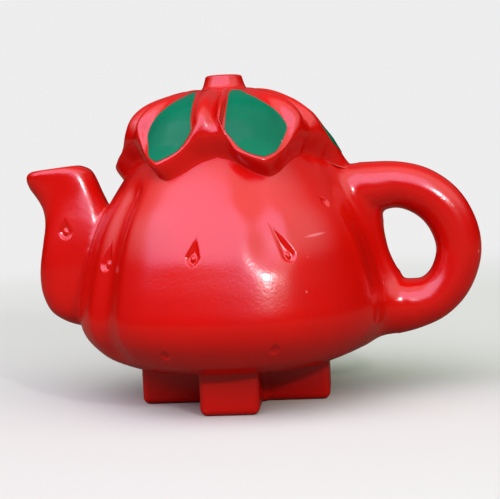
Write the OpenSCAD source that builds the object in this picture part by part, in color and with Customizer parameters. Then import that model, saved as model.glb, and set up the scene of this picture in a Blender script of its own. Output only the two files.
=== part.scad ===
// Toy teapot shaped like a strawberry, moulded in glossy plastic.
// The origin is on the body's axis, in the plane of the foot's underside. +X points to the handle.

/* [Body] */
// Radius of the body at its widest place
body_r = 18; // [16:0.25:20]
// Height from the flat underside of the body to the rim of its neck
body_h = 26.8; // [25:0.2:29]
// Wall of the hollow body
wall = 2; // [1.7:0.1:2.4]
// Depth of the creases between the lobes
crease_depth = 0.8; // [0.2:0.1:1.1]
// Length of a seed dent
seed_length = 3.8; // [3:0.1:4.5]
// Radius of the round end of a seed dent
seed_r = 1.05; // [0.8:0.05:1.2]
// Depth of a seed dent
seed_depth = 0.6; // [0.3:0.05:0.8]
// Radius of the raised drop on the floor of a seed dent
drop_r = 0.38; // [0.25:0.01:0.45]

/* [Spout] */
// Reach of the spout's lip from the body's axis
spout_reach = 23.7; // [22.5:0.1:26]
// Height of the spout's lowest edge above the body's underside
spout_low = 4.4; // [3.2:0.1:5.6]
// Height of the spout from its lowest edge to its lip
spout_h = 18.9; // [17:0.1:20]
// Width of the spout across its root
spout_width = 7.6; // [7:0.1:9]
// Wall of the hollow spout
spout_wall = 1.7; // [1.4:0.1:2]

/* [Handle] */
// Reach of the handle's outer edge from the body's axis
handle_reach = 28.8; // [27:0.2:31]
// Height of the middle of the handle's lower root above the body's underside
handle_low = 5.9; // [5.2:0.1:6.6]
// Depth of the middle of the handle's upper root below the rim of the body's neck
handle_drop = 7.6; // [7:0.1:8.2]
// Thickness of the handle's bar at the grip
bar_d = 5.1; // [4.4:0.1:5.6]

/* [Leaf cap] */
// Radius at the tips of the leaves
leaf_reach = 13.1; // [12.5:0.1:14]
// Height of the leaves from their tips to the stem
leaf_h = 8.3; // [7.5:0.1:9]
// Depth of the leaf tips below the rim of the body's neck
leaf_drop = 4; // [3.4:0.1:4.4]
// Height of the rim round a leaf's panel
rim_h = 0.8; // [0.3:0.1:1]
// Depth of the valleys between the leaves
valley_depth = 0.5; // [0.2:0.1:0.8]
// Radius of the stem stub at its top
stem_top_r = 2.15; // [1.4:0.05:2.3]
// Radius of the stem stub at its foot
stem_foot_r = 2.5; // [2.35:0.05:2.8]
// Height of the stem stub
stem_h = 1.7; // [1.2:0.1:3]
// Rounding of the stem stub's top edge
stem_round = 0.35; // [0.1:0.05:0.5]
// Radius of the bore in the body's neck
neck_bore_r = 6.2; // [5.8:0.1:6.6]
// Length of the spigot that plugs the neck
spigot_length = 3; // [2:0.1:4]
// Wall of the spigot
spigot_wall = 1.4; // [1:0.1:2]
// Thickness of the cap over its spigot
ceiling = 2; // [1.5:0.1:2.6]

/* [Leaf print] */
// Thickness of the green printed film
film_thickness = 0.12; // [0.08:0.01:0.2]

/* [Foot] */
// Height of the cross foot below the body
foot_h = 4.7; // [4:0.1:5.4]
// Width of an arm of the cross
arm_width = 6.56; // [5.8:0.02:6.6]
// Reach of an arm from the body's axis
arm_reach = 10.85; // [10:0.05:11.1]
// Rounding of the ends and lower edges of the arms
arm_round = 0.8; // [0.4:0.1:1.2]
// Wall round the hollow in each arm
arm_wall = 1.35; // [1.1:0.05:1.6]
// Depth of the hollow in each arm
arm_hollow = 3.2; // [2:0.1:3.2]
// Radius of the round plug that fills the hole in the body
plug_r = 5.2; // [4.6:0.1:5.8]

/* [Fits] */
// Clearance round a plugged or pinned joint
fit_gap = 0.05; // [0.03:0.01:0.1]
// Clearance under the leaf cap
seat_gap = 0.05; // [0.03:0.01:0.1]
// Radius of the pins that line up the two halves
pin_r = 0.8; // [0.6:0.05:1]
// Length of the pins that line up the two halves
pin_length = 1.6; // [1:0.1:2]

/* [Hidden] */

red = [0.78, 0.08, 0.07];
green = [0, 0.58, 0.4];
// One overrun serves every cut
over = 1;
// A half space large enough for the whole object
space = 2 * (handle_reach + body_h);

body_z = foot_h;
neck_z = body_z + body_h;
leaf_z = neck_z - leaf_drop;
handle_rise = body_h - handle_low - handle_drop;

// Columns round the body and round a hollow
body_columns = 60;
hollow_columns = 24;
body_rings = 18;
hollow_rings = 7;

// Outline of the body as shares: height over body_h, then radius over body_r
body_shares = [[0, 0.6], [0.005, 0.67], [0.022, 0.745], [0.052, 0.838], [0.095, 0.911], [0.135, 0.961],
    [0.18, 0.991], [0.235, 1], [0.32, 0.978], [0.405, 0.95], [0.49, 0.918], [0.575, 0.872],
    [0.65, 0.817], [0.725, 0.745], [0.797, 0.672], [0.868, 0.594], [0.934, 0.512], [1, 0.425]];

// Creases: turn from the front, share of crease_depth, then lowest and highest share of body_h
crease_shares = [[-48, 1, 0.02, 0.8], [18, 0.55, 0.42, 1.1], [77, 0.7, 0.1, 0.86]];
crease_half_angle = 17;
crease_fade_share = 0.12;
// The wall swells under the leaf over the handle, by this share of the room inside the leaf's tip
swell_share = 0.78;
swell_half_angle = 30;
// Lowest and highest share of body_h that the swelling reaches
swell_low_share = 0.7;
swell_high_share = 0.92;

// Seeds: turn from the front, share of body_h, share of seed_length, lean of the dent
seed_shares = [[-8.5, 0.492, 1, 0], [24, 0.523, 1.5, -12], [58.5, 0.731, 0.85, -14], [-55, 0.477, 1, 4],
    [-22.5, 0.07, 0.62, 0], [21, 0.085, 0.62, 0], [52, 0.21, 0.6, 0]];
// Seed on the spout: shares of spout_reach, spout_h and half of spout_width, then of seed_length
spout_seed_shares = [0.79, 0.6, 0.96, 0.7];
seed_tip_share = 0.16;

// Spout as tilted slices: shares of spout_h and spout_reach at the outer edge, the same at the
// inner edge, then the share of spout_width
spout_shares = [[0, 0.75, 0, 0.58, 0.35], [0.035, 0.83, 0.035, 0.57, 0.72],
    [0.1, 0.905, 0.1, 0.57, 0.92], [0.2, 0.943, 0.2, 0.57, 1], [0.3, 0.954, 0.3, 0.57, 1],
    [0.4, 0.949, 0.4, 0.57, 1], [0.52, 0.932, 0.52, 0.57, 0.97], [0.64, 0.916, 0.64, 0.58, 0.94],
    [0.73, 0.923, 0.74, 0.6, 0.93], [0.8, 0.95, 0.83, 0.625, 0.94], [0.865, 0.985, 0.92, 0.65, 0.95],
    [0.92, 1, 0.965, 0.667, 0.95], [0.955, 0.993, 0.99, 0.69, 0.92], [0.972, 0.97, 1, 0.725, 0.84]];
spout_squareness = 2.8;
spout_columns = 16;
spout_slices = 14;

// Handle as stations: shares of the way from its root in the body to handle_reach and of
// handle_rise, then thickness over bar_d
handle_shares = [[0, 0.925, 1.15], [0.136, 0.985, 1.2], [0.296, 1.005, 1.16], [0.48, 1.02, 1.01],
    [0.63, 0.955, 1.01], [0.76, 0.815, 1.01], [0.843, 0.61, 1], [0.858, 0.4, 1], [0.797, 0.18, 1],
    [0.69, 0.035, 1.03], [0.56, -0.02, 1.16], [0.42, -0.028, 1.32], [0.248, 0.005, 1.45]];
handle_root_share = 0.6;
handle_stations = 21;
handle_columns = 14;
// The ring closes along the body's wall, with a bar sunk in the wall for most of its thickness
band_shares = [[0.15, 1.05, 1.1], [0.215, 0.82, 1.1], [0.25, 0.58, 1.01], [0.278, 0.39, 0.98],
    [0.322, 0.248, 0.98], [0.378, 0.09, 0.98], [0.42, -0.06, 0.9]];
band_stations = 9;

// Centre line of a leaf: share of leaf_reach, then share of leaf_h
leaf_shares = [[0.18, 1], [0.35, 1.005], [0.504, 0.943], [0.626, 0.85], [0.718, 0.713], [0.794, 0.57],
    [0.87, 0.42], [0.939, 0.26], [0.985, 0.1], [1, 0]];
// Leaves: turn of the middle, then turns of the valleys on its two sides
leaf_angles = [[27, 0, 58.5], [90, 58.5, 121.5], [153, 121.5, 180], [207, 180, 238.5],
    [270, 238.5, 301.5], [333, 301.5, 360]];
panel_half_angle = 27;
// The panels are turned by this much from the middles of their leaves
panel_turn = -2.5;
// Columns of half a leaf, from its middle out to the valley: how far across the panel and across
// the rim, how far down the leaf's centre line, then how much of the dish, rim and valley it takes
column_shares = [[0, 0, 0.965, 1, 0, 0], [0.5, 0, 0.9, 1, 0, 0], [1, 0, 0.835, 1, 0, 0],
    [1, 0.28, 0.765, 0.3, 0.75, 0], [1, 0.54, 0.725, 0, 1, 0.15], [1, 0.8, 0.695, 0, 0.55, 0.5],
    [1, 1, 0.67, 0, 0, 1]];
// Rings down a leaf: how far down, half width of the panel over panel_half_angle, then the heights
// of the dish and the rim over rim_h and that of the valley over valley_depth
ring_shares = [[0, 0.2, 0, 0, 0], [0.08, 0.24, 0, 0.05, -0.35], [0.16, 0.31, 0, 0.12, -0.7],
    [0.25, 0.37, 0, 0.2, -0.95], [0.34, 0.425, -0.04, 0.3, -1], [0.43, 0.47, -0.08, 0.46, -1],
    [0.52, 0.515, -0.12, 0.68, -0.95], [0.61, 0.555, -0.15, 0.88, -0.8], [0.7, 0.59, -0.15, 1, -0.55],
    [0.79, 0.62, -0.12, 0.97, -0.25], [0.87, 0.56, -0.06, 0.82, 0.1], [0.95, 0.49, 0, 0.58, 0.3],
    [1, 0.44, 0, 0.35, 0.3]];
// First and last ring of the printed panel
print_rings = [2, 11];
// Lowest edge of a leaf on the body, as shares of body_h, from its middle out to the valley
foot_shares = [0.797, 0.812, 0.835, 0.85, 0.861, 0.868, 0.875];
// The leaf over the handle ends higher, clear of the handle's root
handle_leaf_index = 1;
handle_foot_share = 0.84;
edge_share = 0.3;
edge_bulge_share = 0.02;

function pick(p, i) = p[min(max(i, 0), len(p) - 1)];

// Smooth curve through the points p, at the share t of the way along them
function curve(p, t) =
    let (u = t * (len(p) - 1), i = min(floor(u), len(p) - 2), f = u - i,
        a = pick(p, i - 1), b = pick(p, i), c = pick(p, i + 1), d = pick(p, i + 2))
    b + f / 2 * (c - a + f * (2 * a - 5 * b + 4 * c - d + f * (3 * (b - c) + d - a)));

// A turn of 0 faces the front, -Y, and a quarter turn faces the handle, +X
function around(r, turn, z) = [r * sin(turn), -r * cos(turn), z];

// Difference of two turns, between minus a half turn and a half turn
function apart(a, b) = let (d = (a - b + 540) % 360) d - 180;

// Faces between n rings of m points
function side_faces(m, n) =
    [for (i = [0 : n - 2], j = [0 : m - 1]) let (a = i * m + j, b = i * m + (j + 1) % m)
        each [[a, a + m, b + m], [a, b + m, b]]];

// Solid from rings of equal length, stacked so that each ring runs anticlockwise seen from its end
module skin(rings) {
    m = len(rings[0]);
    n = len(rings);
    polyhedron([for (ring = rings) each ring], concat(
        [[for (j = [0 : m - 1]) j]],
        side_faces(m, n),
        [[for (j = [m - 1 : -1 : 0]) (n - 1) * m + j]]));
}

function body_radius(share) = body_r * lookup_share(share, 0);

function lookup_share(share, i) =
    i >= len(body_shares) - 2 || share <= body_shares[i + 1][0]
    ? let (a = body_shares[i], b = body_shares[i + 1])
        a[1] + (b[1] - a[1]) * min(1, (share - a[0]) / (b[0] - a[0]))
    : lookup_share(share, i + 1);

// Rises from 0 to 1 past the low share and falls back before the high one
function fade(share, low, high) =
    let (rise = (share - low) / crease_fade_share, fall = (high - share) / crease_fade_share)
    max(0, min(1, rise, fall));

// How far the creases draw the wall in, less the swelling under the leaf over the handle
function drawn_in(share, turn) =
    let (t = apart(turn, 0), front = abs(t) <= 90 ? t : sign(t) * 180 - t,
        near = min(1, abs(t - 90) / swell_half_angle),
        up = (share - swell_low_share) / (swell_high_share - swell_low_share))
    crease_depth * max([for (c = crease_shares)
        let (d = min(1, abs(front - c[0]) / crease_half_angle))
        c[1] * pow(1 - d, 2) * fade(share, c[2], c[3])])
    - swell_share * (leaf_reach - body_radius((leaf_z - body_z) / body_h)) * pow(cos(90 * near), 2)
        * sin(180 * max(0, min(1, up)));

function body_point(share, turn, extra = 0) =
    around(body_radius(share) - drawn_in(share, turn) + extra, turn, body_z + body_h * share);

module body_skin() {
    skin([for (i = [0 : body_rings])
        let (share = curve(body_shares, i / body_rings)[0])
        [for (j = [0 : body_columns - 1]) body_point(share, j * 360 / body_columns)]]);
}

module body_hollow() {
    low = wall / body_h;
    skin([for (i = [0 : hollow_rings])
        let (share = low + (1 - low) * i / hollow_rings)
        [for (j = [0 : hollow_columns - 1])
            around(body_radius(share) - wall, j * 360 / hollow_columns, body_z + body_h * share)]]);
}

function signed_power(x, p) = sign(x) * pow(abs(x), p);

// One slice of the spout, drawn in all round by the inset
function spout_slice(s, inset) =
    let (outer_x = -spout_reach * s[1] + inset, inner_x = -spout_reach * s[3],
        outer_z = body_z + spout_low + spout_h * s[0], inner_z = body_z + spout_low + spout_h * s[2],
        half = max(spout_width * s[4] / 2 - inset, inset / 2), power = 2 / spout_squareness)
    [for (j = [0 : spout_columns - 1])
        let (turn = -j * 360 / spout_columns, side = (1 - signed_power(cos(turn), power)) / 2)
        [outer_x + (inner_x - outer_x) * side, half * signed_power(sin(turn), power),
            outer_z + (inner_z - outer_z) * side]];

module spout_skin() {
    skin([for (i = [0 : spout_slices]) spout_slice(curve(spout_shares, i / spout_slices), 0)]);
}

module spout_hollow() {
    skin([for (i = [2 : spout_slices - 4])
        spout_slice(curve(spout_shares, i / spout_slices), spout_wall)]);
}

// Place in the plane of the handle and radius of its bar, at the share t of the way along it
function bar_station(shares, t) = let (s = curve(shares, t), root = body_r * handle_root_share)
    [root + (handle_reach - root) * s[0], body_z + handle_low + handle_rise * s[1], bar_d * s[2] / 2];

function bar_ring(shares, t, step) =
    let (p = bar_station(shares, t), a = bar_station(shares, max(0, t - step)),
        b = bar_station(shares, min(1, t + step)), lie = atan2(b[1] - a[1], b[0] - a[0]))
    [for (j = [0 : handle_columns - 1])
        let (turn = j * 360 / handle_columns)
        [p[0] - p[2] * sin(turn) * sin(lie), p[2] * cos(turn), p[1] + p[2] * sin(turn) * cos(lie)]];

module bar_skin(shares, stations) {
    skin([for (i = [0 : stations]) bar_ring(shares, i / stations, 0.5 / stations)]);
}

// Places a seed on the wall with its pointed end up and its outward side along +Z
module at_seed(turn, share, lean) {
    step = 0.01;
    rise = body_h * 2 * step;
    slope = atan2(body_radius(share - step) - body_radius(share + step), rise);
    p = body_point(share, turn);
    translate(p) rotate([0, 0, turn]) rotate([90 - slope, 0, 0]) rotate([0, 0, lean]) children();
}

// Teardrop that is cut from the wall
module seed_dent(length) {
    lift = seed_r - seed_depth;
    tip_r = seed_r * seed_tip_share;
    hull() {
        translate([0, 0, lift]) sphere(seed_r, $fn = 12);
        translate([0, length - seed_r - tip_r, 0]) sphere(tip_r, $fn = 5);
        translate([0, length - seed_r - tip_r, lift]) sphere(tip_r, $fn = 5);
    }
}

// Raised drop on the floor of a dent
module seed_drop() {
    hull() {
        translate([0, -drop_r / 2, -seed_depth]) sphere(drop_r, $fn = 8);
        translate([0, drop_r * 1.5, -seed_depth]) sphere(drop_r / 2, $fn = 5);
    }
}

module at_spout_seed() {
    s = spout_seed_shares;
    translate([-spout_reach * s[0], -spout_width / 2 * s[2], body_z + spout_low + spout_h * s[1]])
        rotate([90, 0, 0]) children();
}

// Places of the pins: in the handle's grip and in the solid lip of the spout
function pin_places() =
    let (grip = bar_station(handle_shares, 0.55), lip = spout_shares[len(spout_shares) - 3])
    [[grip[0], grip[1]],
        [-spout_reach * (lip[1] + lip[3]) / 2, body_z + spout_low + spout_h * lip[0] - 2 * pin_r]];

module pins(r, length) {
    for (p = pin_places())
        translate([p[0], 0, p[1]]) rotate([90, 0, 0])
            cylinder(h = 2 * length, r = r, center = true, $fn = 20);
}

// Front half of the hollow body, with the front halves of the spout and the handle
module half_pot() {
    difference() {
        intersection() {
            union() {
                body_skin();
                spout_skin();
                bar_skin(handle_shares, handle_stations);
                bar_skin(band_shares, band_stations);
            }
            translate([-space / 2, -space, -over]) cube(space);
        }
        body_hollow();
        spout_hollow();
        translate([0, 0, neck_z - body_h / 4]) cylinder(h = body_h, r = neck_bore_r, $fn = 48);
        translate([0, 0, body_z - over]) cylinder(h = wall + 2 * over, r = plug_r + fit_gap, $fn = 48);
        for (s = seed_shares) at_seed(s[0], s[1], s[3]) seed_dent(seed_length * s[2]);
        at_spout_seed() seed_dent(seed_length * spout_seed_shares[3]);
    }
    for (s = seed_shares) at_seed(s[0], s[1], s[3]) seed_drop();
    at_spout_seed() seed_drop();
}

module front_shell() {
    color(red) union() {
        half_pot();
        intersection() {
            pins(pin_r, pin_length);
            translate([-space / 2, -pin_length, 0]) cube(space);
        }
    }
}

module back_shell() {
    color(red) difference() {
        mirror([0, 1, 0]) half_pot();
        pins(pin_r + fit_gap, pin_length + fit_gap);
    }
}

// Columns of the leaf cap, in order round the axis: the leaf, the column's number and its side
valley_column = len(column_shares) - 1;
last_ring = len(ring_shares) - 1;
cap_columns = [for (k = [0 : len(leaf_angles) - 1]) each concat(
    [for (c = [valley_column : -1 : 1]) [k, c, -1]],
    [for (c = [0 : valley_column - 1]) [k, c, 1]])];

// Turn of a column where its ring i crosses it, with the panel turned by shift
function cap_turn(col, i, shift) =
    let (leaf = leaf_angles[col[0]], valley = col[2] < 0 ? leaf[1] : leaf[2], s = column_shares[col[1]],
        edge = leaf[0] + shift + col[2] * panel_half_angle * ring_shares[i][1] * s[0])
    edge + (valley - edge) * s[1];

// Point of the leaves' top side, with the film's thickness laid on it
function leaf_point(col, i, film) =
    let (c = column_shares[col[1]], ring = ring_shares[i], t = c[2] * ring[0], step = 0.01,
        p = curve(leaf_shares, t), a = curve(leaf_shares, max(0, t - step)),
        b = curve(leaf_shares, t + step),
        dr = leaf_reach * (b[0] - a[0]), dz = leaf_h * (b[1] - a[1]), d = norm([dr, dz]),
        lift = film + rim_h * (c[3] * ring[2] + c[4] * ring[3]) + valley_depth * c[5] * ring[4])
    around(leaf_reach * p[0] - lift * dz / d, cap_turn(col, i, panel_turn),
        leaf_z + leaf_h * p[1] + lift * dr / d);

function foot_share(col) = max(foot_shares[col[1]], col[0] == handle_leaf_index ? handle_foot_share : 0);

// Point on the body's shoulder under a column
function seat_point(col, share) = body_point(share, cap_turn(col, last_ring, 0), seat_gap);

function cap_ring(r, z) = [for (col = cap_columns) around(r, cap_turn(col, 0, panel_turn), z)];

module leaf_cap() {
    stem_z = leaf_z + leaf_h;
    spigot_r = neck_bore_r - fit_gap;
    ceiling_z = stem_z - ceiling;
    color(red) skin([
        cap_ring(spigot_r - spigot_wall, ceiling_z),
        cap_ring(spigot_r - spigot_wall, neck_z - spigot_length),
        cap_ring(spigot_r, neck_z - spigot_length),
        cap_ring(spigot_r, neck_z + seat_gap),
        cap_ring(body_radius(1) + seat_gap, neck_z + seat_gap),
        [for (col = cap_columns) seat_point(col, (foot_share(col) + 1) / 2)],
        [for (col = cap_columns) seat_point(col, foot_share(col))],
        [for (col = cap_columns) edge_point(col)],
        for (i = [last_ring : -1 : 0]) [for (col = cap_columns) leaf_point(col, i, 0)],
        cap_ring(stem_foot_r, stem_z + stem_round),
        cap_ring(stem_top_r, stem_z + stem_h - stem_round),
        cap_ring(stem_top_r - stem_round, stem_z + stem_h)]);
}

// Point of the thick edge of a leaf, a little proud of the line from its foot to its top
function edge_point(col) =
    let (a = leaf_point(col, last_ring, 0), b = seat_point(col, foot_share(col)),
        p = a + (b - a) * edge_share, grow = 1 + edge_bulge_share)
    [p[0] * grow, p[1] * grow, p[2]];

// One printed panel, laid on the top side of leaf k
module leaf_panel(k) {
    across = [for (c = [2 : -1 : 1]) [k, c, -1], for (c = [0 : 2]) [k, c, 1]];
    n = len(across);
    rings = print_rings[1] - print_rings[0];
    last = 2 * n * rings;
    polyhedron([for (i = [print_rings[0] : print_rings[1]]) each concat(
        [for (j = [0 : n - 1]) leaf_point(across[j], i, 0)],
        [for (j = [n - 1 : -1 : 0]) leaf_point(across[j], i, film_thickness)])],
        concat(side_faces(2 * n, rings + 1),
            [for (j = [0 : n - 2]) let (a = j, b = 2 * n - 1 - j)
                each [[a, a + 1, b], [a + 1, b - 1, b]]],
            [for (j = [0 : n - 2]) let (a = last + j, b = last + 2 * n - 1 - j)
                each [[b, a + 1, a], [b, b - 1, a + 1]]]));
}

module leaf_print() {
    color(green) for (k = [0 : len(leaf_angles) - 1]) leaf_panel(k);
}

// One bar of the cross, with rounded ends and lower edges
module foot_bar() {
    x = arm_reach - arm_round;
    y = arm_width / 2 - arm_round;
    hull() {
        for (sx = [-1, 1], sy = [-1, 1]) translate([sx * x, sy * y, 0]) {
            translate([0, 0, arm_round]) sphere(arm_round, $fn = 16);
            translate([0, 0, arm_round]) cylinder(h = foot_h - arm_round, r = arm_round, $fn = 16);
        }
    }
}

// Hollow in one arm, open below
module arm_pocket() {
    inner = arm_width / 2;
    translate([inner, -arm_width / 2 + arm_wall, -over])
        cube([arm_reach - arm_wall - inner, arm_width - 2 * arm_wall, arm_hollow + over]);
}

module cross_foot() {
    color(red) difference() {
        union() {
            foot_bar();
            rotate([0, 0, 90]) foot_bar();
            cylinder(h = foot_h + wall, r = plug_r, $fn = 48);
        }
        for (turn = [0 : 90 : 270]) rotate([0, 0, turn]) arm_pocket();
    }
}

front_shell();
back_shell();
leaf_cap();
leaf_print();
cross_foot();
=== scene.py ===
import math

import bmesh
import bpy
import numpy as np
from mathutils import Matrix, Vector


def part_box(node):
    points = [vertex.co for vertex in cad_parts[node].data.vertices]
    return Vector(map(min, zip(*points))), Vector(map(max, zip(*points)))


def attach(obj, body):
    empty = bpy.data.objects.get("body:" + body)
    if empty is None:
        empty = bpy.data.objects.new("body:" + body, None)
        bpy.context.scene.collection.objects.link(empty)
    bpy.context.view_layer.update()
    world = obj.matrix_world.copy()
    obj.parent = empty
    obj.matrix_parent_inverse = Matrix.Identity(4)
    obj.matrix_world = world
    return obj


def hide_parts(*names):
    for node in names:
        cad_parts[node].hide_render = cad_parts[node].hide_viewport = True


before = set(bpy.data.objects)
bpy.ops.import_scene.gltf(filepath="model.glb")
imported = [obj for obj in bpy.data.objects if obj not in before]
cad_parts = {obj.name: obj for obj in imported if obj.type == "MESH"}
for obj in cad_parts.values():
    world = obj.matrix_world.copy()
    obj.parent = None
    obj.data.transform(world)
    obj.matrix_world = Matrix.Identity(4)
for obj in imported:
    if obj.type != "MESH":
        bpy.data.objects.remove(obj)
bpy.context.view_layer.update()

# The camera stands where the photograph was taken from, a little above the teapot's middle
# and a little to the handle's side of it.
mm = 0.001
camera_data = bpy.data.cameras.new("camera")
camera_data.lens = 85.33
camera_data.sensor_width = 36
camera_data.clip_start = 5 * mm
camera = bpy.data.objects.new("camera", camera_data)
camera_right = Vector((0.99568, 0.08055, -0.04618))
camera_up = Vector((0.03987, 0.07831, 0.99613))
turned = Matrix((camera_right, camera_up, camera_right.cross(camera_up))).transposed()
camera.matrix_world = Matrix.Translation(Vector((13.7, -137.051, 27.604)) * mm) @ turned.to_4x4()
bpy.context.scene.collection.objects.link(camera)
bpy.context.scene.camera = camera


# The pot is a hollow body with a stub spout and a ring handle, moulded in glossy red plastic.
# It comes out of the mould as a front and a back half, glued on the plane through both.
front_low, front_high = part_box("front_shell")
# The skin stays this far inside the solids' box
box_gap = 0.02 * mm
body_z = front_low.z
body_h = front_high.z - front_low.z
body_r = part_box("back_shell")[1].y - box_gap

# Height up the body and its radius there, as shares of body_h and body_r
body_shares = [(0, 0.6), (0.005, 0.68), (0.022, 0.754), (0.052, 0.847), (0.095, 0.919), (0.135, 0.966),
               (0.18, 0.993), (0.235, 1), (0.32, 0.978), (0.405, 0.95), (0.49, 0.918), (0.575, 0.872),
               (0.65, 0.817), (0.725, 0.745), (0.797, 0.672), (0.868, 0.594), (0.934, 0.512),
               (1, 0.425)]


def curve(points, share):
    """Point at a share of the way along a smooth curve through the points."""
    last = len(points) - 1
    place = share * last
    start = min(int(place), last - 1)
    step = place - start
    a, b, c, d = (np.array(points[max(0, min(i, last))]) for i in range(start - 1, start + 3))
    return b + step / 2 * (c - a + step * (2 * a - 5 * b + 4 * c - d + step * (3 * (b - c) + d - a)))


def steps(low, high, count):
    return [low + (high - low) * i / count for i in range(count + 1)]


body_stations = 170
outline = np.array([curve(body_shares, share) for share in steps(0, 1, body_stations)])


def rise(value, low, high):
    """Smooth rise from 0 at low to 1 at high."""
    share = max(0, min(1, (value - low) / (high - low)))
    return share * share * (3 - 2 * share)


# Creases between the lobes: turn at the top and at the bottom, half width as a turn, depth, then
# the lowest and highest share of body_h. A crease fades out at its ends over crease_fade.
crease_fade = 0.12
creases = [(-50, -47, 11, 0.8 * mm, 0, 0.82), (17, 21, 12, 0.34 * mm, 0.4, 1.1),
           (76, 78, 11, 0.5 * mm, 0.05, 0.9)]
# The wall swells under the leaf over the handle, and a little below the handle's lower root: where
# it starts and how tall it is, as shares of body_h, then how far out it goes
swellings = [(0.7, 0.22, 1.6 * mm), (0, 0.3, 1 * mm)]
swelling_half_turn = 30


def wall_radius(share, turn):
    """Radius of the wall at a share of body_h and a turn in degrees from the front to the handle."""
    turn = (turn + 180) % 360 - 180
    front_turn = turn if abs(turn) <= 90 else math.copysign(180, turn) - turn
    drawn_in = 0
    for top_turn, low_turn, half_width, depth, lowest, highest in creases:
        off = (front_turn - low_turn - (top_turn - low_turn) * share) / half_width
        if abs(off) < 1:
            drawn_in = max(drawn_in, depth * math.cos(math.pi / 2 * off) ** 2
                           * rise(share, lowest, lowest + crease_fade)
                           * rise(highest - share, 0, crease_fade))
    off = min(1, abs(turn - 90) / swelling_half_turn)
    swollen = sum(reach * math.sin(math.pi * max(0, min(1, (share - start) / tall)))
                  for start, tall, reach in swellings)
    drawn_in -= math.cos(math.pi / 2 * off) ** 2 * swollen
    return body_r * np.interp(share, outline[:, 0], outline[:, 1]) - drawn_in


# The wall's direction upwards is taken between places this share of body_h apart
wall_step = 0.02


def around(radius, turn, z):
    turn = math.radians(turn)
    return Vector((radius * math.sin(turn), -radius * math.cos(turn), z))


def wall_point(share, turn, out=0):
    return around(wall_radius(share, turn) + out, turn, body_z + body_h * share)


def only(parts, kind):
    return [part for part in parts if isinstance(part, kind)]


def skin_over(mesh, columns, stations, place):
    """Closed skin: a ring of vertices, put by place(column, station), is extruded along the stations.
    Returns its two end faces."""
    column = mesh.verts.layers.int.get("column") or mesh.verts.layers.int.new("column")
    ring = bmesh.ops.create_circle(mesh, segments=columns, radius=1)["verts"]
    for i, vert in enumerate(ring):
        vert[column] = i
        vert.co = place(i, stations[0])
    edges = list({edge for vert in ring for edge in vert.link_edges})
    ends = bmesh.ops.contextual_create(mesh, geom=edges)["faces"]
    for station in stations[1:]:
        grown = bmesh.ops.extrude_edge_only(mesh, edges=edges)["geom"]
        ring = set(only(grown, bmesh.types.BMVert))
        for vert in ring:
            vert.co = place(vert[column], station)
        edges = [edge for edge in only(grown, bmesh.types.BMEdge) if ring.issuperset(edge.verts)]
    ends += bmesh.ops.contextual_create(mesh, geom=edges)["faces"]
    return ends


pot = bmesh.new()
body_columns = 240
skin_over(pot, body_columns, outline[:, 0],
          lambda column, share: wall_point(share, 360 * column / body_columns))

# The spout is a flat-sided stub that widens to a level lip. Each slice gives the heights and
# reaches of its outer and inner edge, as shares, then its width as a share.
spout_z = body_z + 4.4 * mm
spout_h = 18.9 * mm
spout_reach = -front_low.x
spout_width = 7.6 * mm
spout_shares = [(0, 0.75, 0, 0.58, 0.35), (0.035, 0.83, 0.035, 0.57, 0.72),
                (0.1, 0.905, 0.1, 0.57, 0.92), (0.2, 0.943, 0.2, 0.57, 1),
                (0.3, 0.954, 0.3, 0.57, 1), (0.4, 0.949, 0.4, 0.57, 1),
                (0.52, 0.932, 0.52, 0.57, 0.96), (0.64, 0.916, 0.64, 0.58, 0.87),
                (0.73, 0.923, 0.74, 0.6, 0.78), (0.8, 0.95, 0.83, 0.63, 0.72),
                (0.865, 0.985, 0.92, 0.658, 0.7), (0.92, 1, 0.965, 0.679, 0.69),
                (0.955, 0.993, 0.985, 0.704, 0.67), (0.972, 0.97, 1, 0.738, 0.6)]
spout_columns = 48
# A slice is an ellipse at 1 and a box at 0
spout_roundness = 0.75


def spout_point(column, share):
    outer_z, outer_x, inner_z, inner_x, width = curve(spout_shares, share)
    turn = math.tau * column / spout_columns
    across, out = (math.copysign(abs(part) ** spout_roundness, part)
                   for part in (math.sin(turn), math.cos(turn)))
    inward = (1 - out) / 2
    reach = outer_x + (inner_x - outer_x) * inward
    height = outer_z + (inner_z - outer_z) * inward
    return Vector((-spout_reach * reach, spout_width / 2 * width * across, spout_z + spout_h * height))


skin_over(pot, spout_columns, steps(0, 1, 56), spout_point)

# The handle is a round bar bent into a ring, which grows thicker into its two roots. Stations
# give shares of the way to handle_reach and of handle_rise, then the thickness over bar_d.
handle_reach = front_high.x - 2 * box_gap
handle_root = 0.6 * body_r
handle_low = body_z + 5.9 * mm
handle_rise = front_high.z - 7.6 * mm - handle_low
bar_d = 5.1 * mm
handle_shares = [(0, 0.925, 1.15), (0.136, 0.98, 1.2), (0.296, 1, 1.17), (0.475, 1.015, 1.05),
                 (0.627, 0.955, 1.05), (0.757, 0.815, 1.05), (0.838, 0.61, 1.03), (0.855, 0.4, 1.01),
                 (0.797, 0.18, 1), (0.69, 0.035, 1.03), (0.56, -0.02, 1.16), (0.42, -0.03, 1.34),
                 (0.248, -0.01, 1.55)]
# The ring closes along the body's wall, with a bar that is mostly sunk in the wall
band_shares = [(0.15, 1.05, 1.1), (0.215, 0.82, 1.12), (0.25, 0.58, 1.05), (0.282, 0.39, 1.02),
               (0.328, 0.248, 1.02), (0.382, 0.09, 1), (0.42, -0.06, 0.9)]
bar_columns = 40
# The bar's direction is taken between two places this share apart on each side
bar_step = 0.01


def bar_place(shares, share):
    """Place on a bar's middle line, and the bar's thickness there over bar_d."""
    out, up, thick = curve(shares, max(0, min(1, share)))
    reach = handle_root + (handle_reach - handle_root) * out
    return Vector((reach, 0, handle_low + handle_rise * up)), thick


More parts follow.
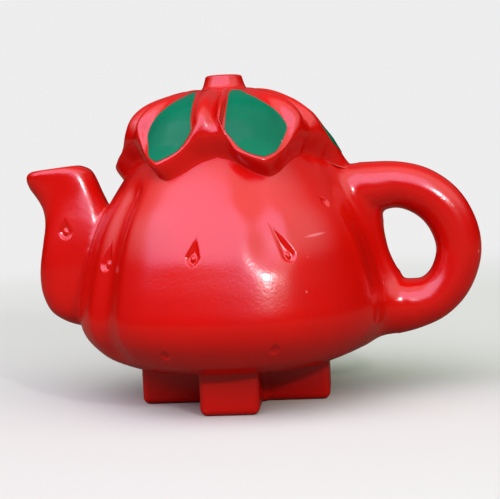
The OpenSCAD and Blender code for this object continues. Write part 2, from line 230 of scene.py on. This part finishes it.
def bar_point(shares):
    """Place of a column and station on a bar that follows the shares."""
    def point(column, share):
        place, thick = bar_place(shares, share)
        along = bar_place(shares, share + bar_step)[0] - bar_place(shares, share - bar_step)[0]
        turn = math.tau * column / bar_columns
        side = Vector((0, 1, 0))
        out = side * math.cos(turn) + along.normalized().cross(side) * math.sin(turn)
        return place + out * bar_d / 2 * thick
    return point


skin_over(pot, bar_columns, steps(0, 1, 90), bar_point(handle_shares))
skin_over(pot, bar_columns, steps(0, 1, 40), bar_point(band_shares))
bmesh.ops.recalc_face_normals(pot, faces=pot.faces)


def object_of(name, mesh):
    """New object of the mesh, in the scene."""
    data = bpy.data.meshes.new(name)
    mesh.to_mesh(data)
    thing = bpy.data.objects.new(name, data)
    bpy.context.scene.collection.objects.link(thing)
    return thing


def applied(draft):
    """The draft's mesh with its modifiers applied. The draft is used up."""
    shape = bpy.data.meshes.new_from_object(draft.evaluated_get(bpy.context.evaluated_depsgraph_get()))
    mesh = bmesh.new()
    mesh.from_mesh(shape)
    bpy.data.meshes.remove(shape)
    bpy.data.objects.remove(draft)
    return mesh


def smooth(mesh, verts, times):
    for _ in range(times):
        bmesh.ops.smooth_vert(mesh, verts=verts, factor=0.5, use_axis_x=True, use_axis_y=True,
                              use_axis_z=True)


# Edges that turn by more than this, in radians, stay crisp
crisp_turn = 0.7


def new_piece(name, mesh, *nodes, slot, material):
    """Object of the mesh that rides on the part and stands for the nodes."""
    for face in mesh.faces:
        face.smooth = True
    for edge in mesh.edges:
        edge.smooth = edge.calc_face_angle(0) < crisp_turn
    piece = object_of(name, mesh)
    piece.data.materials.append(material)
    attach(piece, "root")
    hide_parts(*nodes)


# Body, spout and handle melt into one skin, whose roots are then eased
draft = object_of("draft", pot)
skin = draft.modifiers.new("one_skin", "REMESH")
skin.mode = "VOXEL"
skin.voxel_size = 0.24 * mm
pot = applied(draft)
smooth(pot, pot.verts, 3)


def round_roots(nearest, furthest, reach):
    """Vertices on the handle's side that lie within reach of the wall, nearest to furthest from the
    parting plane."""
    found = []
    for vert in pot.verts:
        if vert.co.x > handle_root and nearest <= abs(vert.co.y) < furthest:
            turn = math.degrees(math.atan2(vert.co.x, -vert.co.y))
            wall = wall_radius((vert.co.z - body_z) / body_h, turn)
            if abs(math.hypot(vert.co.x, vert.co.y) - wall) < reach:
                found.append(vert)
    return found


# First a band right across the roots is eased, then more of it beside the handle
smooth(pot, round_roots(0, 7 * mm, 2 * mm), 60)
smooth(pot, round_roots(2.2 * mm, 8 * mm, 2.2 * mm), 110)

# Seeds are dents like drops of water, and the long ones have a small raised drop on their floor.
# Each seed on the wall has a turn, a share of body_h, its length and depth as shares, and a lean in
# degrees to the spout's side.
seed_length = 3.6 * mm
seed_r = 0.8 * mm
seed_lip = 0.12 * mm
seed_depth = 0.36 * mm
seed_slope = 0.7 * mm
seed_taper = 0.85
# A short seed's round end is this share of seed_r larger than its length alone would make it
short_seed_extra = 0.3
# The dent gets shallower from its round end to its point, where this share of its depth is left
point_depth = 0.3
drop_h = 0.22 * mm
drop_half_width = 0.38 * mm
drop_half_height = 0.55 * mm
drop_sinks = 0.05 * mm
drop_softness = 0.8
shortest_with_drop = 0.7
wall_seeds = [(-8.6, 0.492, 1, 1, -9), (26.6, 0.486, 1.5, 0.8, 21), (52, 0.676, 0.5, 0.6, 20),
              (-52.8, 0.462, 1, 1, 0), (-20.6, 0.112, 0.5, 0.6, 0), (19.1, 0.124, 0.5, 0.6, 0),
              (68, 0.19, 0.6, 0.4, 0)]
seed_places = []
for turn, share, length, deep, lean in wall_seeds:
    up = (wall_point(share + wall_step, turn) - wall_point(share - wall_step, turn)).normalized()
    across = Vector((math.cos(math.radians(turn)), math.sin(math.radians(turn)), 0))
    lean = math.radians(lean)
    out = across.cross(up)
    seed_places.append((wall_point(share, turn), across * math.cos(lean) + up * math.sin(lean),
                        up * math.cos(lean) - across * math.sin(lean), out, length, deep))
spout_seed = Vector((-0.79 * spout_reach, -0.48 * spout_width, spout_z + 0.6 * spout_h))
seed_places.append((spout_seed, Vector((1, 0, 0)), Vector((0, 0, 1)), Vector((0, -1, 0)), 0.7, 0.8))
# Room round a seed in which the skin is made finer: to its sides, off the wall and in all
patch_half = 1.4 * mm
patch_deep = 1.6 * mm
patch_reach = 5.5 * mm


def seed_dent(across, up, length):
    """Depth of a seed's dent at a place on the wall, from the middle of its round end."""
    size = seed_r * min(1, length + short_seed_extra)
    top = seed_length * length - size
    reach = size + seed_lip
    if not -reach < up < top:
        return 0
    half = reach * (math.sqrt(1 - (up / reach) ** 2) if up < 0 else (1 - up / top) ** seed_taper)
    floor = (seed_depth * rise(half - abs(across), 0, seed_slope)
             * (point_depth + (1 - point_depth) * rise(top - up, 0, top * 0.9)))
    if length < shortest_with_drop:
        return floor
    off = math.hypot(across / drop_half_width, (up + drop_sinks) / drop_half_height)
    return floor - min(drop_h * rise(1 - off, 0, drop_softness), floor)


def seed_patch(middle, axes, length):
    """Vertices round a seed, each with its place across it and up it."""
    top = seed_length * length
    patch = {}
    for vert in pot.verts:
        off = vert.co - middle
        if off.length < patch_reach:
            across, up, out = (off.dot(axis) for axis in axes)
            if abs(across) < patch_half and abs(out) < patch_deep and -patch_half < up < top:
                patch[vert] = across, up
    return patch


for place, *axes, length, deep in seed_places:
    for side in (1, -1):
        middle, *side_axes = (part * Vector((1, side, 1)) for part in (place, *axes))
        for _ in range(2):
            patch = set(seed_patch(middle, side_axes, length))
            edges = list({edge for vert in patch for edge in vert.link_edges
                          if patch.issuperset(edge.verts)})
            bmesh.ops.subdivide_edges(pot, edges=edges, cuts=1, use_grid_fill=True)
        for vert, (across, up) in seed_patch(middle, side_axes, length).items():
            vert.co -= side_axes[2] * seed_dent(across, up, length) * deep


def node_in(tree, kind, inputs=None, **settings):
    """New node with its settings, whose inputs take a value or a link from another node's socket."""
    node = tree.nodes.new(kind)
    for name, value in settings.items():
        setattr(node, name, value)
    for name, value in (inputs or {}).items():
        if isinstance(value, bpy.types.NodeSocket):
            tree.links.new(value, node.inputs[name])
        else:
            node.inputs[name].default_value = value
    return node


# Fine relief, uneven colour and dust, which the red mouldings and the printed films both show
surface = bpy.data.node_groups.new("moulded_surface", "ShaderNodeTree")
for name in ("Relief Scale", "Mottle Scale", "Dust Scale"):
    surface.interface.new_socket(name=name, in_out="INPUT", socket_type="NodeSocketFloat")
for name in ("Relief", "Mottle", "Dust"):
    surface.interface.new_socket(name=name, in_out="OUTPUT", socket_type="NodeSocketFloat")
given = node_in(surface, "NodeGroupInput").outputs
where = node_in(surface, "ShaderNodeTexCoord").outputs["Object"]
relief = node_in(surface, "ShaderNodeTexNoise", {"Vector": where, "Scale": given["Relief Scale"],
                                                 "Detail": 1.5})
mottle = node_in(surface, "ShaderNodeTexNoise", {"Vector": where, "Scale": given["Mottle Scale"],
                                                 "Detail": 4})
uneven = node_in(surface, "ShaderNodeMapRange", {"Value": mottle.outputs["Fac"], "From Min": 0.35,
                                                 "From Max": 0.65})
specks = node_in(surface, "ShaderNodeTexVoronoi", {"Vector": where, "Scale": given["Dust Scale"]})
near_speck = node_in(surface, "ShaderNodeMapRange", {"Value": specks.outputs["Distance"],
                                                     "From Min": 0.04, "From Max": 0.09,
                                                     "To Min": 1, "To Max": 0})
cell = node_in(surface, "ShaderNodeSeparateColor", {"Color": specks.outputs["Color"]})
few = node_in(surface, "ShaderNodeMath", {0: cell.outputs["Red"], 1: 0.82}, operation="GREATER_THAN")
dust = node_in(surface, "ShaderNodeMath", {0: near_speck.outputs["Result"], 1: few.outputs["Value"]},
               operation="MULTIPLY")
node_in(surface, "NodeGroupOutput", {"Relief": relief.outputs["Fac"],
                                     "Mottle": uneven.outputs["Result"],
                                     "Dust": dust.outputs["Value"]})


mottle_scale = 130
dust_scale = 420
dust_cover = 0.35
# The duller spots of the surface are rougher by this much
dull_step = 0.05


def gloss_plastic(name, colour, deep_colour, dust_colour, relief_scale, relief_height, roughness):
    """Glossy plastic with fine relief, a mottled colour and specks of dust. Returns the material, its
    nodes, and the node that lays the dust over the colour."""
    material = bpy.data.materials.new(name)
    material.use_nodes = True
    tree = material.node_tree
    marks = node_in(tree, "ShaderNodeGroup", node_tree=surface)
    for socket, scale in (("Relief Scale", relief_scale), ("Mottle Scale", mottle_scale),
                          ("Dust Scale", dust_scale)):
        marks.inputs[socket].default_value = scale
    shade = node_in(tree, "ShaderNodeMix", {0: marks.outputs["Mottle"], 6: (*colour, 1),
                                            7: (*deep_colour, 1)}, data_type="RGBA")
    dusted = node_in(tree, "ShaderNodeMath", {0: marks.outputs["Dust"], 1: dust_cover},
                     operation="MULTIPLY")
    tint = node_in(tree, "ShaderNodeMix", {0: dusted.outputs["Value"], 6: shade.outputs[2],
                                           7: (*dust_colour, 1)}, data_type="RGBA")
    dull = node_in(tree, "ShaderNodeMapRange", {"Value": marks.outputs["Mottle"], "To Min": roughness,
                                                "To Max": roughness + dull_step})
    rough = node_in(tree, "ShaderNodeMath", {0: dusted.outputs["Value"], 1: dull.outputs["Result"]},
                    operation="ADD")
    bump = node_in(tree, "ShaderNodeBump", {"Height": marks.outputs["Relief"], "Strength": 1,
                                            "Distance": relief_height})
    shader = tree.nodes["Principled BSDF"]
    tree.links.new(tint.outputs[2], shader.inputs["Base Color"])
    tree.links.new(rough.outputs["Value"], shader.inputs["Roughness"])
    tree.links.new(bump.outputs["Normal"], shader.inputs["Normal"])
    return material, tree, tint


red, red_tree, red_tint = gloss_plastic(
    "red_plastic", colour=(0.61, 0.004, 0.001), deep_colour=(0.56, 0.003, 0.001),
    dust_colour=(0.8, 0.4, 0.35), relief_scale=3300, relief_height=0.009 * mm, roughness=0.17)
red_tree.nodes["Principled BSDF"].inputs["IOR"].default_value = 1.6
# A short pale scuff on the wall, on the handle's side of the front
scuff_turn = 39.8
scuff_share = 0.552
scuff_lean = -6
scuff_size = (1.25 * mm, 0.7 * mm, 0.13 * mm)
scuffed = node_in(red_tree, "ShaderNodeMapping", {
    "Vector": node_in(red_tree, "ShaderNodeTexCoord").outputs["Object"], "Scale": scuff_size,
    "Location": wall_point(scuff_share, scuff_turn),
    "Rotation": (0, math.radians(scuff_lean), math.radians(scuff_turn))}, vector_type="TEXTURE")
scuff_off = node_in(red_tree, "ShaderNodeVectorMath", {0: scuffed.outputs["Vector"]},
                    operation="LENGTH")
scuff = node_in(red_tree, "ShaderNodeMapRange", {"Value": scuff_off.outputs["Value"], "From Min": 1.3,
                                                 "From Max": 0.6, "To Min": 0, "To Max": 0.5})
scuff_tint = node_in(red_tree, "ShaderNodeMix", {0: scuff.outputs["Result"],
                                                 6: red_tint.inputs[6].links[0].from_socket,
                                                 7: (0.85, 0.3, 0.27, 1)}, data_type="RGBA")
red_tree.links.new(scuff_tint.outputs[2], red_tint.inputs[6])

# The skin is cut on the parting plane, and each half is closed there
for name, side, node in (("front_half", 1, "front_shell"), ("back_half", -1, "back_shell")):
    half = pot.copy()
    cut = bmesh.ops.bisect_plane(half, geom=half.verts[:] + half.edges[:] + half.faces[:],
                                 dist=0.0001 * mm, plane_co=(0, 0, 0), plane_no=(0, side, 0),
                                 clear_outer=True)["geom_cut"]
    bmesh.ops.triangle_fill(half, use_beauty=True, edges=only(cut, bmesh.types.BMEdge),
                            normal=(0, side, 0))
    new_piece(name, half, node, slot="red_plastic", material=red)

# The crown is a lid of six leaves round a stem stub, moulded in the same red plastic. Each leaf has
# a rounded rim round a shallow dish, and a thick edge that stands on the body's shoulder.
neck_z = front_high.z
leaf_reach = 13.1 * mm
leaf_h = 8.3 * mm
leaf_z = neck_z - 4 * mm
rim_h = 0.8 * mm
valley_depth = 0.5 * mm
stem_r = 2.15 * mm
stem_round = 0.35 * mm
stem_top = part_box("leaf_cap")[1].z
# Line down the middle of a leaf: share of leaf_reach, then share of leaf_h
leaf_shares = [(0.18, 1), (0.35, 0.992), (0.5, 0.925), (0.63, 0.835), (0.733, 0.715), (0.812, 0.57),
               (0.86, 0.42), (0.902, 0.26), (0.968, 0.1), (1.025, 0)]
# The same line for the leaf over the handle, which is straighter and reaches further out. The two
# lines blend over handle_leaf_blend from its valleys inwards.
handle_leaf_shares = [(0.18, 1), (0.35, 0.985), (0.5, 0.915), (0.64, 0.785), (0.735, 0.65),
                      (0.812, 0.535), (0.872, 0.43), (0.935, 0.29), (0.99, 0.12), (1.03, 0)]
handle_leaf_blend = 0.6
# Leaves: turn of the middle and of the valleys on its two sides, then the turn of the dish and its
# width as a share
leaf_turns = [(27, 0, 58.5, 22.9, 1.14), (90, 58.5, 121.5, 88, 1.02),
              (153, 121.5, 180, 157.1, 1.14), (207, 180, 238.5, 210.1, 0.96),
              (270, 238.5, 301.5, 268, 1), (333, 301.5, 360, 329.9, 0.96)]
handle_leaf = 1
panel_half_turn = 27
# From a leaf's middle out to the valley: how far across the panel and across the rim, how far down
# the middle line, then how much of the dish, rim and valley it takes
column_shares = [(0, 0, 0.965, 1, 0, 0), (0.5, 0, 0.9, 1, 0, 0), (1, 0, 0.835, 1, 0, 0),
                 (1, 0.28, 0.765, 0.3, 0.75, 0), (1, 0.54, 0.725, 0, 1, 0.15),
                 (1, 0.8, 0.695, 0, 0.55, 0.5), (1, 1, 0.67, 0, 0, 1)]
# Down a leaf: how far down, half width of the panel over panel_half_turn, then the heights of the
# dish and the rim over rim_h and that of the valley over valley_depth
ring_shares = [(0, 0.2, 0, 0, 0), (0.08, 0.24, 0, 0.05, -0.35), (0.16, 0.31, 0, 0.12, -0.7),
               (0.25, 0.37, 0, 0.2, -0.95), (0.34, 0.425, -0.04, 0.3, -1),
               (0.43, 0.47, -0.08, 0.46, -1), (0.52, 0.515, -0.12, 0.68, -0.95),
               (0.61, 0.555, -0.15, 0.88, -0.8), (0.7, 0.59, -0.15, 1, -0.55),
               (0.79, 0.62, -0.12, 0.97, -0.25), (0.87, 0.56, -0.06, 0.82, 0.1),
               (0.95, 0.49, 0, 0.58, 0.3), (1, 0.44, 0, 0.35, 0.3)]
# Lowest edge of a leaf on the body, as shares of body_h, from its middle out to the valley. The
# leaf over the handle stops higher.
rest_shares = [(0.775,), (0.793,), (0.82,), (0.838,), (0.851,), (0.858,), (0.865,)]
handle_leaf_rest = 0.84
# The edge ends this far inside the wall
sunk = 0.1 * mm
tip_rounding = 0.06
# A leaf's slope is taken between two places this share apart on each side
leaf_step = 0.01
# How strongly an edge keeps its direction at its top and at its foot, as shares of its height
top_pull = 0.35
foot_pull = 0.22
# The edge over the handle runs out along the top of the handle's root: the share of the leaf that
# does, the place where it ends and the direction back from there, and how far that line spreads and
# drops to its sides
handle_flare = 0.42
handle_foot = Vector((15.4 * mm, 0, 25.8 * mm))
handle_climb = Vector((-1, 0, 0.15))
handle_foot_spread = 9 * mm
handle_foot_drop = 18 * mm
# The edge sets out in the direction that the top side has from here down
last_slope_start = 0.97


def leaf_turn(leaf, across, middle, half_turn):
    """Turn of a place across a leaf whose panel reaches half_turn to both sides of its middle."""
    panel, rim = curve(column_shares, min(1, abs(across)))[:2]
    turn = middle + math.copysign(half_turn * panel, across)
    _, low_valley, high_valley, *_ = leaf_turns[leaf]
    return turn + ((low_valley if across < 0 else high_valley) - turn) * rim


def leaf_point(leaf, across, down, out=0):
    """Point of a leaf's top side. Across runs from -1 to 1 between its valleys, down from 0 to 1."""
    reach = curve(column_shares, min(1, math.hypot(across, tip_rounding)))[2]
    dish, rim, valley = curve(column_shares, min(1, abs(across)))[3:]
    far, width, dish_rise, rim_rise, valley_rise = curve(ring_shares, down)
    dish_turn, wide = leaf_turns[leaf][3:]
    turn = leaf_turn(leaf, across, dish_turn, panel_half_turn * wide * width)
    share = reach * far
    blend = rise(1 - abs(across), 0, handle_leaf_blend) if leaf == handle_leaf else 0
    places = (max(0, min(1, share + step)) for step in (0, -leaf_step, leaf_step))
    here, before, after = (curve(leaf_shares, at) * (1 - blend) + curve(handle_leaf_shares, at) * blend
                           for at in places)
    fall = Vector((leaf_reach * (after[0] - before[0]), leaf_h * (after[1] - before[1]))).normalized()
    lift = out + rim_h * (dish * dish_rise + rim * rim_rise) + valley_depth * valley * valley_rise
    return around(leaf_reach * here[0] - lift * fall.y, turn, leaf_z + leaf_h * here[1] + lift * fall.x)


def edge_point(leaf, across, down):
    """Point of a leaf's thick edge, from its top side down to a small flare on the body."""
    top = leaf_point(leaf, across, 1)
    fall = (top - leaf_point(leaf, across, last_slope_start)).normalized()
    share = curve(rest_shares, min(1, math.hypot(across, tip_rounding)))[0]
    if leaf == handle_leaf:
        share = max(share, handle_leaf_rest)
    turn = leaf_turn(leaf, across, leaf_turns[leaf][0], panel_half_turn * ring_shares[-1][1])
    foot = wall_point(share, turn, -sunk)
    climb = (wall_point(share + wall_step, turn, -sunk) - foot).normalized()
    if leaf == handle_leaf:
        near = rise(handle_flare - abs(across), 0, handle_flare)
        foot = foot.lerp(handle_foot + Vector((0, handle_foot_spread * across,
                                               -handle_foot_drop * across ** 2)), near)
        climb = climb.lerp(handle_climb, near).normalized()
    tall = (foot - top).length
    left = 1 - down
    return (top * left ** 3 + 3 * (top + fall * tall * top_pull) * down * left ** 2
            + 3 * (foot + climb * tall * foot_pull) * down ** 2 * left + foot * down ** 3)


leaf_columns = 36
# Rings of the stem stub, from the middle of its top down its rounded rim to its flared root
stem_z = leaf_z + leaf_h
stem_rings = [(0.2 * mm, stem_top), (1.2 * mm, stem_top), (stem_r - stem_round - 0.08 * mm, stem_top)]
for turn in (0, 22, 45, 68, 90):
    turn = math.radians(turn)
    stem_rings.append((stem_r - stem_round * (1 - math.sin(turn)),
                       stem_top - stem_round * (1 - math.cos(turn))))
stem_rings += [(2.22 * mm, stem_z + 1.1 * mm), (2.33 * mm, stem_z + 0.75 * mm),
               (2.46 * mm, stem_z + 0.42 * mm), (2.6 * mm, stem_z + 0.2 * mm),
               (2.8 * mm, stem_z + 0.07 * mm)]
under_rings = [(9.2 * mm, neck_z - 2 * mm), (7 * mm, neck_z - 1 * mm)]
leaf_start = 0.06
edge_start = 0.08
crown_stations = ([("ring", ring) for ring in stem_rings]
                  + [("leaf", down) for down in steps(leaf_start, 1, 44)]
                  + [("edge", down) for down in steps(edge_start, 1, 12)]
                  + [("ring", ring) for ring in under_rings])


def crown_point(column, station):
    """Place of a column on a ring of the stem or the underside, or on a leaf's top side or edge."""
    leaf, step = divmod(column, leaf_columns)
    across = 2 * step / leaf_columns - 1
    part, place = station
    if part == "leaf":
        return leaf_point(leaf, across, place)
    if part == "edge":
        return edge_point(leaf, across, place)
    start = leaf_point(leaf, across, leaf_start)
    return around(place[0], math.degrees(math.atan2(start.x, -start.y)), place[1])


crown = bmesh.new()
skin_over(crown, leaf_columns * len(leaf_turns), crown_stations, crown_point)
bmesh.ops.recalc_face_normals(crown, faces=crown.faces)
new_piece("leaf_crown", crown, "leaf_cap", slot="red_plastic", material=red)

# Each leaf's panel is printed green. The print is a thin film that follows the dish and stops short
# of the rim's crest, in an ink that is less shiny than the bare plastic.
green, green_tree, _ = gloss_plastic(
    "green_print", colour=(0.001, 0.2, 0.085), deep_colour=(0.001, 0.15, 0.065),
    dust_colour=(0.4, 0.6, 0.5), relief_scale=2600, relief_height=0.008 * mm, roughness=0.16)
green_tree.nodes["Principled BSDF"].inputs["Specular IOR Level"].default_value = 0.1
film_out = 0.06 * mm
film_thickness = 0.12 * mm
# Outline of a film: how far down the leaf, then its half width on its inner and on its outer side,
# as shares of the dish's. The inner side is the one nearer to the front or the back. Two films
# towards the handle are wider.
wide_leaves = (0, 2)
wide_film_shares = [(0.2, 0.8, 0.1), (0.26, 1.05, 0.2), (0.36, 1.08, 0.5), (0.46, 1.04, 0.78),
                    (0.56, 1, 0.95), (0.66, 0.95, 1.01), (0.75, 0.9, 0.99), (0.84, 0.82, 0.88),
                    (0.92, 0.74, 0.68), (0.965, 0.55, 0.48)]
film_shares = [(0.2, 0.4, 0.1), (0.27, 0.78, 0.22), (0.36, 0.97, 0.5), (0.46, 1, 0.8),
               (0.56, 1, 0.93), (0.66, 1, 0.92), (0.75, 1, 0.86), (0.84, 1, 0.77),
               (0.92, 0.96, 0.66), (0.965, 0.85, 0.55)]
# Which side of each film is its outer one: 1, -1, or 0 for neither
film_sides = [1, 0, -1, 1, 0, -1]
end_rounding = 0.05
side_rounding = 0.1
films = bmesh.new()
for leaf in range(len(leaf_turns)):
    film = bmesh.ops.create_grid(films, x_segments=24, y_segments=36, size=1)["verts"]
    faces = list({face for vert in film for face in vert.link_faces})
    for vert in film:
        across, up = vert.co.x, vert.co.y
        down, inner, outer = curve(wide_film_shares if leaf in wide_leaves else film_shares,
                                   (1 - up * (1 - end_rounding * across ** 6)) / 2)
        across *= outer if across * film_sides[leaf] > 0 else inner
        # The dish takes the middle third of a leaf's columns
        vert.co = leaf_point(leaf, across * (1 - side_rounding * up ** 6) / 3, down, film_out)
    bmesh.ops.recalc_face_normals(films, faces=faces)
    bmesh.ops.solidify(films, geom=faces, thickness=film_thickness)
bmesh.ops.recalc_face_normals(films, faces=films.faces)
new_piece("leaf_films", films, "leaf_print", slot="green_print", material=green)

# The cross foot is a separate moulding of the same plastic. Its round plug closes the hole under
# the body, and its four arms, hollow from below, are what the toy stands on.
arm_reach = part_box("cross_foot")[1].x
arm_half = 3.28 * mm
plug_r = 5.2 * mm
arm_wall = 1.35 * mm
arm_hollow = 3.2 * mm
arm_round = 0.8 * mm
foot_top = body_z + 0.3 * mm
# Outline of a quarter of the foot: the end of an arm, then round the plug to the next arm
corner = math.sqrt(plug_r ** 2 - arm_half ** 2)
quarter = [(arm_reach, -arm_half), (arm_reach, arm_half), (corner, arm_half),
           (plug_r * math.sqrt(0.5), plug_r * math.sqrt(0.5)), (arm_half, corner)]


def foot_point(column, z):
    turn, step = divmod(column, len(quarter))
    x, y = quarter[step]
    for _ in range(turn):
        x, y = -y, x
    return Vector((x, y, z))


def ends_arm(edge):
    start, end = (vert.co for vert in edge.verts)
    return abs(start.z - end.z) > arm_round and max(abs(start.x), abs(start.y)) > arm_reach - arm_round


foot = bmesh.new()
sole, _ = skin_over(foot, 4 * len(quarter), (0, foot_top), foot_point)
outer = list(sole.edges) + [edge for edge in foot.edges if ends_arm(edge)]
# The sole is parted into four arms and the plug, and each arm gets its hollow
corners = {vert[foot.verts.layers.int["column"]]: vert for vert in sole.verts}
for turn in range(4):
    first = len(quarter) * turn
    bmesh.ops.connect_verts(foot, verts=[corners[first + 2], corners[(first - 1) % len(corners)]])
arm_soles = [face for face in foot.faces
             if face.calc_center_median().z < arm_round and len(face.verts) == 4]
for face in arm_soles:
    bmesh.ops.inset_individual(foot, faces=[face], thickness=arm_wall)
    deeper = bmesh.ops.extrude_face_region(foot, geom=[face])["geom"]
    bmesh.ops.delete(foot, geom=[face], context="FACES_ONLY")
    bmesh.ops.translate(foot, vec=(0, 0, arm_hollow), verts=only(deeper, bmesh.types.BMVert))
bmesh.ops.bevel(foot, geom=[edge for edge in outer if edge.is_valid], offset=arm_round, segments=5,
                profile=0.5, affect="EDGES", material=-1)
bmesh.ops.recalc_face_normals(foot, faces=foot.faces)
new_piece("foot", foot, "cross_foot", slot="red_plastic", material=red)

# The stage is a plain pale floor. Seen by the camera it fades into the background, and for all
# else it is a darker floor, so that it takes the toy's shadow without washing out its red.
floor_mesh = bmesh.new()
bmesh.ops.create_grid(floor_mesh, x_segments=1, y_segments=1, size=2)
floor = object_of("floor", floor_mesh)
background_level = 0.85
fade_start = 50 * mm
fade_end = 220 * mm
# What the camera sees near the toy makes up for the tint of the window's light
seen_colour = (0.67, 0.76, 0.62, 1)
unseen_colour = (0.24, 0.13, 0.09, 1)
black, white = (0, 0, 0, 1), (1, 1, 1, 1)
paper = bpy.data.materials.new("paper")
paper.use_nodes = True
tree = paper.node_tree
paper_shader = tree.nodes["Principled BSDF"]
paper_shader.inputs["Roughness"].default_value = 0.9
paper_shader.inputs["Specular IOR Level"].default_value = 0
paper_shader.inputs["Emission Strength"].default_value = background_level
camera_ray = node_in(tree, "ShaderNodeLightPath").outputs["Is Camera Ray"]
from_middle = node_in(tree, "ShaderNodeVectorMath",
                      {0: node_in(tree, "ShaderNodeTexCoord").outputs["Object"]}, operation="LENGTH")
far = node_in(tree, "ShaderNodeMapRange", {"Value": from_middle.outputs["Value"],
                                           "From Min": fade_start, "From Max": fade_end},
              interpolation_type="SMOOTHSTEP")
far_seen = node_in(tree, "ShaderNodeMath", {0: far.outputs["Result"], 1: camera_ray},
                   operation="MULTIPLY")
glow = node_in(tree, "ShaderNodeMix", {0: far_seen.outputs["Value"], 6: black, 7: white},
               data_type="RGBA")
near_colour = node_in(tree, "ShaderNodeMix", {0: camera_ray, 6: unseen_colour, 7: seen_colour},
                      data_type="RGBA")
floor_colour = node_in(tree, "ShaderNodeMix", {0: far_seen.outputs["Value"],
                                               6: near_colour.outputs[2], 7: black}, data_type="RGBA")
tree.links.new(glow.outputs[2], paper_shader.inputs["Emission Color"])
tree.links.new(floor_colour.outputs[2], paper_shader.inputs["Base Color"])
floor.data.materials.append(paper)

# The room that the gloss mirrors is dark low down and behind, and bright above the front
low_level = 0.04
high_level = 1.35
share_behind = 0.12
world = bpy.data.worlds.new("studio")
world.use_nodes = True
tree = world.node_tree
seen = node_in(tree, "ShaderNodeLightPath").outputs["Is Camera Ray"]
towards = node_in(tree, "ShaderNodeSeparateXYZ",
                  {0: node_in(tree, "ShaderNodeTexCoord").outputs["Generated"]})
high = node_in(tree, "ShaderNodeMapRange", {"Value": towards.outputs["Z"], "From Min": 0.3,
                                            "From Max": 0.5, "To Min": low_level,
                                            "To Max": high_level})
behind = node_in(tree, "ShaderNodeMapRange", {"Value": towards.outputs["Y"], "From Min": -0.1,
                                              "From Max": 0.3, "To Min": 1,
                                              "To Max": share_behind})
room = node_in(tree, "ShaderNodeMath", {0: high.outputs["Result"], 1: behind.outputs["Result"]},
               operation="MULTIPLY")
level = node_in(tree, "ShaderNodeMix", {0: seen, 2: room.outputs["Value"], 3: background_level})
background = tree.nodes["Background"]
background.inputs["Color"].default_value = white
tree.links.new(level.outputs[0], background.inputs["Strength"])
bpy.context.scene.world = world
bpy.context.scene.view_settings.view_transform = "Standard"

# Light panels that face the toy, all as far away. Each has its turn from the front, its height and
# its roll in degrees, its two sizes in millimetres, its power and its colour.
lights_away = 350 * mm
lights_aim = Vector((0, 0, 18 * mm))
for name, turn, height, roll, width, tall, power, colour in (
        ("window", -20, 45, 0, 680, 290, 1.1, (1.08, 0.7, 1.3)),
        ("lamp", 31, 22.5, 0, 16, 20, 0.28, (1, 0.95, 1)),
        ("strip", 37, 20.5, -18, 100, 12, 0.05, (1, 1, 1))):
    light_data = bpy.data.lights.new(name, "AREA")
    light_data.shape = "RECTANGLE"
    light_data.size = width * mm
    light_data.size_y = tall * mm
    light_data.energy = power
    light_data.color = colour
    light = bpy.data.objects.new(name, light_data)
    turn, height = math.radians(turn), math.radians(height)
    away = Vector((math.sin(turn) * math.cos(height), -math.cos(turn) * math.cos(height),
                   math.sin(height)))
    light.matrix_world = (Matrix.Translation(away * lights_away + lights_aim)
                          @ away.to_track_quat("Z", "Y").to_matrix().to_4x4()
                          @ Matrix.Rotation(math.radians(roll), 4, "Z"))
    bpy.context.scene.collection.objects.link(light)
